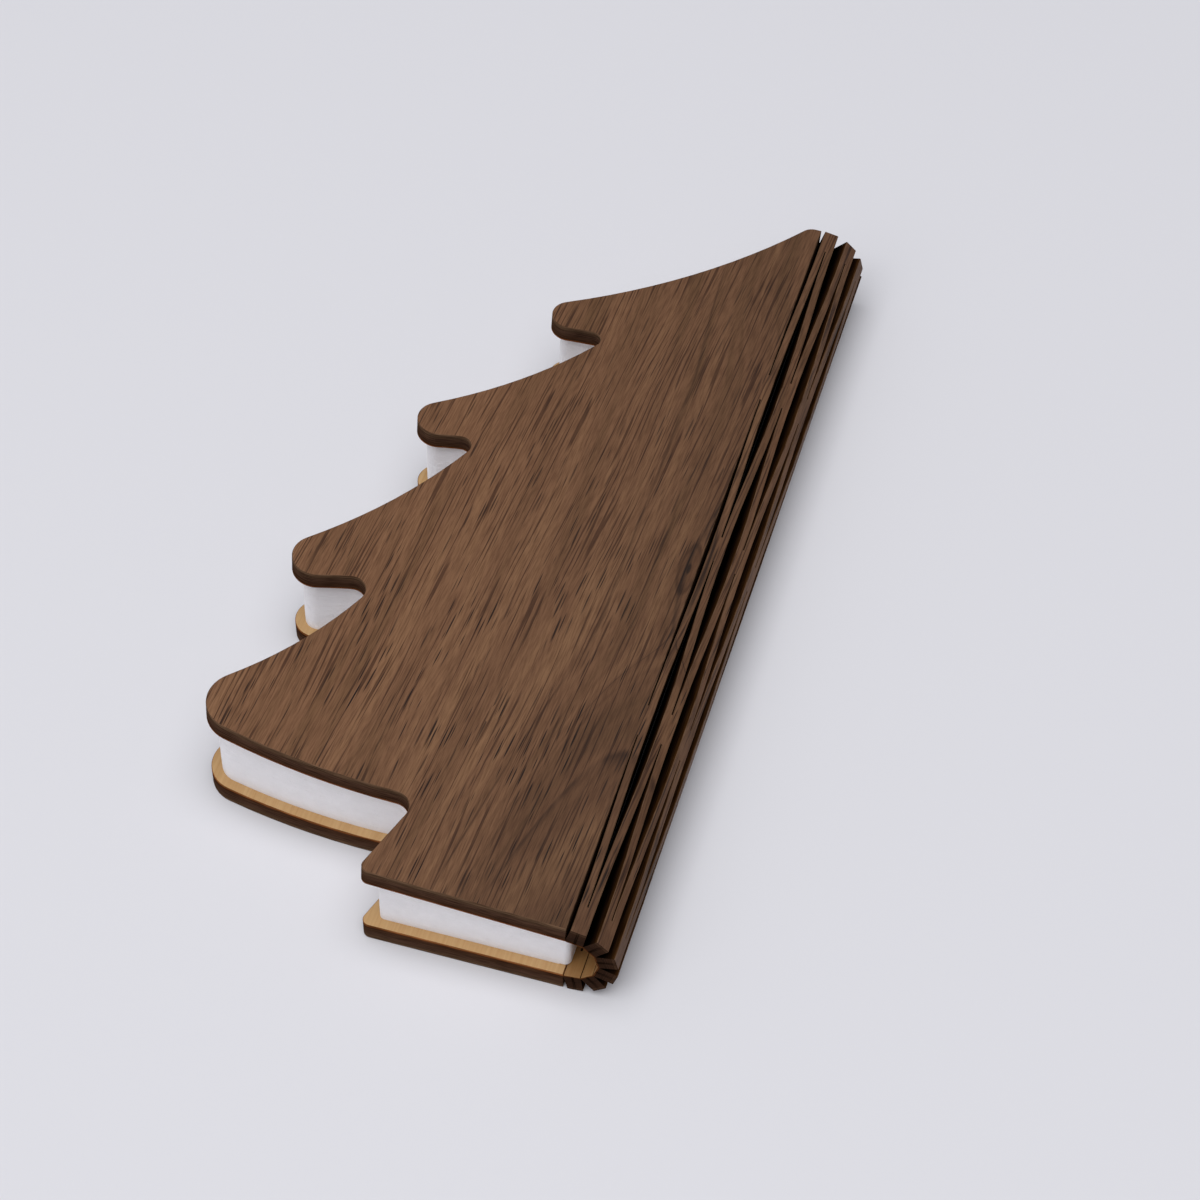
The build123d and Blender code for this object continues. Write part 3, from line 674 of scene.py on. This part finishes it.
# %% Bridges
def row_bridges(row):
    """The bridges of one row, each a short plug of board between two strips."""
    even = row % 2 == 0
    if row == 0:
        start, end = -edge_ease, cut_width + edge_ease
        origin = on_back_cover(0, 0, 0)
    elif row == strip_count:
        start, end = -cut_width - edge_ease, edge_ease
        origin = on_front_cover(0, 0, 0)
    else:
        shift = row_place(row, even) - hinge_edge_to_axis - (row - 1) * pitch
        start, end = shift - cut_width / 2 - edge_ease, shift + cut_width / 2 + edge_ease
        origin = strip_axes[row - 1] + Vector((0, spine_start, 0))
    along, outwards = directions(row_turns[row])
    inner_reach = inner_ease - edge_ease - wall_lean
    plug = ((start - inner_reach, -half_board), (end + inner_reach, -half_board),
            (end, half_board), (start, half_board))
    work = bmesh.new()
    flat_place = {}
    for low, high, on_even in bridges:
        if on_even != even:
            continue
        corners = []
        for up_spine in (low, high):
            for across, out in plug:
                base = origin + Vector((0, up_spine, 0))
                vertex = work.verts.new(base + along * across + outwards * out)
                flat_place[vertex] = (across, up_spine, out)
                corners.append(vertex)
        near, far = corners[:len(plug)], corners[len(plug):]
        for i, finish in enumerate((on_inside, on_edge, on_outside, on_edge)):
            j = (i + 1) % len(plug)
            work.faces.new([near[i], near[j], far[j], far[i]]).material_index = finish
        for ring in (near, far):
            work.faces.new(ring).material_index = on_end
    sheet_origin = {0: 0, strip_count: sheet_width}.get(row, hinge_edge_to_axis + (row - 1) * pitch)

    def uv_of(face, vertex):
        across, up_spine, out = flat_place[vertex]
        if face.material_index in (on_edge, on_end):
            return up_spine + across, out
        return sheet_origin + across, up_spine

    piece = finished_mesh(f"spine_bridges_{row:02d}", work, uv_of)
    if 0 < row < strip_count:
        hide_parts(f"hinge_link_{row:02d}")
    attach(piece, rows[row])
    return piece


row_pieces = [row_bridges(row) for row in range(strip_count + 1)]
print("rows of bridges", len(row_pieces))

# %% [markdown]
# ## Paper
# The leaves are smooth white spun-bonded paper. It is nearly even in colour, lets a little light
# through, and shows its sheets as fine lines along the side of the block.

# %% Paper finish
paper, tree, shader = new_finish("spun_bonded_paper", Roughness=0.75)
shader.inputs["Subsurface Weight"].default_value = 0.25
shader.inputs["Subsurface Radius"].default_value = (0.6, 0.6, 0.6)
shader.inputs["Subsurface Scale"].default_value = 0.8 * MM
cloud_size = 2.5 * MM
spot = add_node(tree, "ShaderNodeTexCoord")
cloud = add_node(tree, "ShaderNodeTexNoise", {
    "Vector": spot.outputs["Object"], "Scale": 1 / cloud_size, "Detail": 4.0})
tone = add_ramp(tree, cloud.outputs["Fac"], [(0.3, "#f6f4f7"), (0.7, "#fcfafd")])
tree.links.new(tone.outputs[0], shader.inputs["Base Color"])
print("paper has", len(tree.nodes), "nodes")

# %% [markdown]
# ## A fan of sheets
# Each leaf of the block holds a few sheets, and the block is a little thicker at the fore-edge, so
# the sheets are not parallel: their planes all meet in one line, far to the right of the spine. That
# is a rule, so Geometry Nodes can make them: one sheet is drawn in the lowest plane, and copies of it
# are turned about that line, each a fraction further, and pushed about by a hair.

# %% The tree for the fan
sheets_per_leaf = 5
sheet_thickness = 0.2 * MM
sheet_push = 0.015 * MM
paper_back = half_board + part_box("endpaper_back")[1].z - back_high.z
lowest_sheet_z = strip_axes[0].z + paper_back
front_inner = on_front_cover(0, 0, -paper_back)
opening = math.pi - row_turns[-1]
meeting_x = front_inner.x + (front_inner.z - lowest_sheet_z) / math.tan(opening)
meeting_line = Vector((meeting_x, 0, lowest_sheet_z))

fan = bpy.data.node_groups.new("fan_of_sheets", "GeometryNodeTree")
fan.interface.new_socket("Sheet", in_out="INPUT", socket_type="NodeSocketGeometry")
for name, kind, value in (("Count", "NodeSocketInt", 4), ("First Turn", "NodeSocketFloat", 0.0),
                          ("Last Turn", "NodeSocketFloat", 0.01), ("Push", "NodeSocketFloat", 0.0001),
                          ("Seed", "NodeSocketInt", 0)):
    fan.interface.new_socket(name, in_out="INPUT", socket_type=kind).default_value = value
fan.interface.new_socket("Meeting Line", in_out="INPUT", socket_type="NodeSocketVector")
fan.interface.new_socket("Paper", in_out="INPUT", socket_type="NodeSocketMaterial")
fan.interface.new_socket("Sheets", in_out="OUTPUT", socket_type="NodeSocketGeometry")
given = add_node(fan, "NodeGroupInput").outputs
spots = add_node(fan, "GeometryNodePoints", {"Count": given["Count"]})
number = add_node(fan, "GeometryNodeInputIndex").outputs[0]
middle = add_node(fan, "ShaderNodeMath", {0: number, 1: 0.5}, operation="ADD")
part = add_node(fan, "ShaderNodeMath", {0: middle.outputs[0], 1: given["Count"]}, operation="DIVIDE")
turn = add_node(fan, "ShaderNodeMapRange", {
    "Value": part.outputs[0], "To Min": given["First Turn"], "To Max": given["Last Turn"]})
angles = add_node(fan, "ShaderNodeCombineXYZ", {"Y": turn.outputs[0]})
rotation = add_node(fan, "FunctionNodeEulerToRotation", {0: angles.outputs[0]})
copies = add_node(fan, "GeometryNodeInstanceOnPoints", {
    "Points": spots.outputs[0], "Instance": given["Sheet"], "Rotation": rotation.outputs[0]})
reach = add_node(fan, "ShaderNodeCombineXYZ", {"X": given["Push"], "Y": given["Push"]})
back_reach = add_node(fan, "ShaderNodeVectorMath", {0: reach.outputs[0], 3: -1.0}, operation="SCALE")
push = add_node(fan, "FunctionNodeRandomValue", {
    0: back_reach.outputs[0], 1: reach.outputs[0], "ID": number, "Seed": given["Seed"]},
    data_type="FLOAT_VECTOR")
pushed = add_node(fan, "GeometryNodeTranslateInstances", {
    "Instances": copies.outputs[0], "Translation": push.outputs[0], "Local Space": False})
home = add_node(fan, "GeometryNodeTranslateInstances", {
    "Instances": pushed.outputs[0], "Translation": given["Meeting Line"], "Local Space": False})
real = add_node(fan, "GeometryNodeRealizeInstances", {0: home.outputs[0]})
dressed = add_node(fan, "GeometryNodeSetMaterial", {
    "Geometry": real.outputs[0], "Material": given["Paper"]})
add_node(fan, "NodeGroupOutput", {0: dressed.outputs[0]})
print("fan tree has", len(fan.nodes), "nodes, sheets meet", round(meeting_x / MM, 1), "mm out")


# %% Leaves
def sheet_mesh(name, outline):
    """One thin sheet in the lowest plane, drawn about the line where all the sheets meet."""
    work = bmesh.new()
    layers = []
    for height in (-sheet_thickness / 2, sheet_thickness / 2):
        layers.append([work.verts.new((x - meeting_line.x, y, height)) for x, y in outline])
    work.faces.new(reversed(layers[0]))
    work.faces.new(layers[1])
    for i in range(len(outline)):
        work.faces.new([layers[0][i - 1], layers[0][i], layers[1][i], layers[1][i - 1]])
    bmesh.ops.recalc_face_normals(work, faces=work.faces)
    mesh = bpy.data.meshes.new(name)
    work.to_mesh(mesh)
    work.free()
    return mesh


def leaf_of_sheets(leaf, outline):
    """The sheets of one leaf, made by the tree and turned into a plain mesh."""
    base = bpy.data.objects.new("one_sheet", sheet_mesh("one_sheet", outline))
    bpy.context.scene.collection.objects.link(base)
    modifier = base.modifiers.new("fan", "NODES")
    modifier.node_group = fan
    leaf_count = strip_count - 1
    turns = [math.atan(math.tan(opening) * (leaf - 1 + step) / leaf_count) for step in (0, 1)]
    values = {"Count": sheets_per_leaf, "First Turn": turns[0], "Last Turn": turns[1],
              "Push": sheet_push, "Seed": leaf, "Meeting Line": meeting_line, "Paper": paper}
    for socket in fan.interface.items_tree:
        if socket.in_out == "INPUT" and socket.name in values:
            modifier[socket.identifier] = values[socket.name]
    base.data.update()
    ready = base.evaluated_get(bpy.context.evaluated_depsgraph_get())
    mesh = bpy.data.meshes.new_from_object(ready)
    mesh.name = f"paper_leaf_{leaf:02d}"
    bpy.data.objects.remove(base)
    piece = bpy.data.objects.new(mesh.name, mesh)
    bpy.context.scene.collection.objects.link(piece)
    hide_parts(f"page_leaf_{leaf:02d}")
    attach(piece, rows[leaf])
    return piece


page_outline = [(point.x, point.y) for point in flat_outline("page_leaf_01", Vector((0, 0, -1)))]
leaves = [leaf_of_sheets(leaf, page_outline) for leaf in range(1, strip_count)]
print("sheets", sheets_per_leaf * len(leaves), "outline points", len(page_outline))

# %% [markdown]
# ## Small parts
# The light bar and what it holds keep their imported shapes. They are moulded, pressed or soldered
# parts with plain surfaces, so their finish is mostly gloss and a fine texture.

# %% Finishes of the small parts
def moulded(name, colour, darker, roughness, grit, **values):
    """A plain surface with a fine grit: its size in millimetres sets the noise."""
    material, tree, shader = new_finish(name, Roughness=roughness, **values)
    spot = add_node(tree, "ShaderNodeTexCoord")
    noise = add_node(tree, "ShaderNodeTexNoise", {
        "Vector": spot.outputs["Object"], "Scale": 1 / (grit * MM), "Detail": 3.0})
    tone = add_ramp(tree, noise.outputs["Fac"], [(0.35, darker), (0.65, colour)])
    bump = add_node(tree, "ShaderNodeBump", {
        "Strength": 0.2, "Distance": grit * MM / 10, "Height": noise.outputs["Fac"]})
    tree.links.new(tone.outputs[0], shader.inputs["Base Color"])
    tree.links.new(bump.outputs[0], shader.inputs["Normal"])
    return material


satin_abs = moulded("satin_black_abs", "#1c1c1d", "#141415", 0.42, 0.3)
milky_acrylic = moulded("milky_acrylic", "#f6f4ec", "#efece2", 0.3, 0.8)
nickel = moulded("bright_nickel_plate", "#d0cdc6", "#bdb9b1", 0.18, 0.5, Metallic=1.0)
steel = moulded("pressed_steel", "#c4c6c8", "#a9abae", 0.3, 0.2, Metallic=1.0)
foil = moulded("crimped_cell_foil", "#c9ccd0", "#b2b6bb", 0.35, 0.6, Metallic=1.0)
foam = moulded("white_foam_tape", "#e2e2de", "#c8c8c2", 0.85, 0.2)
resist = moulded("green_solder_resist", "#1d5a32", "#154526", 0.35, 0.4)
phosphor = moulded("phosphor_gel", "#e9b93c", "#d8a42c", 0.25, 0.3)
sheath = moulded("red_lead_sheath", "#a01818", "#8a1212", 0.45, 0.3)
tube_glass = moulded("switch_tube_glass", "#e4efe8", "#d8e6de", 0.05, 0.8,
                     Transmission_Weight=0.9, IOR=1.5)

node_finishes = {
    "endpaper_back": paper, "endpaper_front": paper,
    "cover_magnets_back": nickel, "cover_magnets_front": nickel, "switch_magnet": nickel,
    "light_bar_housing": satin_abs, "light_bar_base_cap": satin_abs, "light_bar_tip_cap": satin_abs,
    "light_bar_diffuser": milky_acrylic, "charge_indicator": milky_acrylic, "light_bar_tapes": foam,
    "led_board": resist, "charging_board": resist, "led_chips": phosphor, "battery_cell": foil,
    "internal_leads": sheath, "charging_socket": steel, "reed_switch": tube_glass,
}
for node, finish in node_finishes.items():
    mesh = frame["nodes"][node].data
    mesh.materials.clear()
    mesh.materials.append(finish)
print("finished nodes", len(node_finishes))

# %% [markdown]
# ## Floor, light and camera
# The lamp lies on a pale table under a large soft light. The camera stands in front of the base of
# the trunk, a little to the right, and looks down at about fifty degrees through a long lens.

# %% Table top
table_paint, tree, shader = new_finish("pale_table_paint", Roughness=0.9)
shader.inputs["Base Color"].default_value = linear("#dcdce1")
table_mesh = bpy.data.meshes.new("table_top")
table_reach, table_gap = 3.0, 0.02 * MM
table_corners = [(table_reach * x, table_reach * y, 0) for x, y in ((-1, -1), (1, -1), (1, 1), (-1, 1))]
table_mesh.from_pydata(table_corners, [], [(0, 1, 2, 3)])
table_mesh.materials.append(table_paint)
table_top = bpy.data.objects.new("table_top", table_mesh)
table_top.location.z = model_box[0].z - table_gap
bpy.context.scene.collection.objects.link(table_top)
print("table top lies at", round(table_top.location.z / MM, 2), "mm")

# %% Light
world = bpy.data.worlds.new("soft_room")
bpy.context.scene.world = world
world.use_nodes = True
background = world.node_tree.nodes["Background"]
background.inputs["Color"].default_value = linear("#f8f8ff")
background.inputs["Strength"].default_value = 0.27
soft_boxes = (("overhead_box", (0.0, -0.6, 2.6), 2.8, 66.0), ("front_box", (-1.0, -2.0, 1.7), 1.8, 9.5))
for name, place, side, watts in soft_boxes:
    lamp = bpy.data.lights.new(name, "AREA")
    lamp.shape, lamp.size, lamp.energy = "SQUARE", side, watts
    holder = bpy.data.objects.new(name, lamp)
    holder.location = place
    holder.rotation_euler = (-Vector(place)).to_track_quat("-Z", "Y").to_euler()
    bpy.context.scene.collection.objects.link(holder)
print("soft boxes", len(soft_boxes))

# %% Camera
eye = Vector((127.03, -397.28, 480.39)) * MM
right = Vector((0.95870, 0.28430, 0.00831))
forward = Vector((-0.17817, 0.62309, -0.76159))
up = right.cross(forward)
sensor_width = 36
focal_length_pixels, picture_pixels = 3040.5, 1200
camera_data = bpy.data.cameras.new("camera")
camera_data.sensor_width = sensor_width
camera_data.lens = sensor_width * focal_length_pixels / picture_pixels
camera_data.clip_start = 0.01
camera = bpy.data.objects.new("camera", camera_data)
camera.matrix_world = Matrix.Translation(eye) @ Matrix((right, up, -forward)).transposed().to_4x4()
bpy.context.scene.collection.objects.link(camera)
bpy.context.scene.camera = camera
bpy.context.scene.view_settings.view_transform = "Standard"
print("camera stands", round(eye.length / MM), "mm away, lens", round(camera_data.lens, 1), "mm")
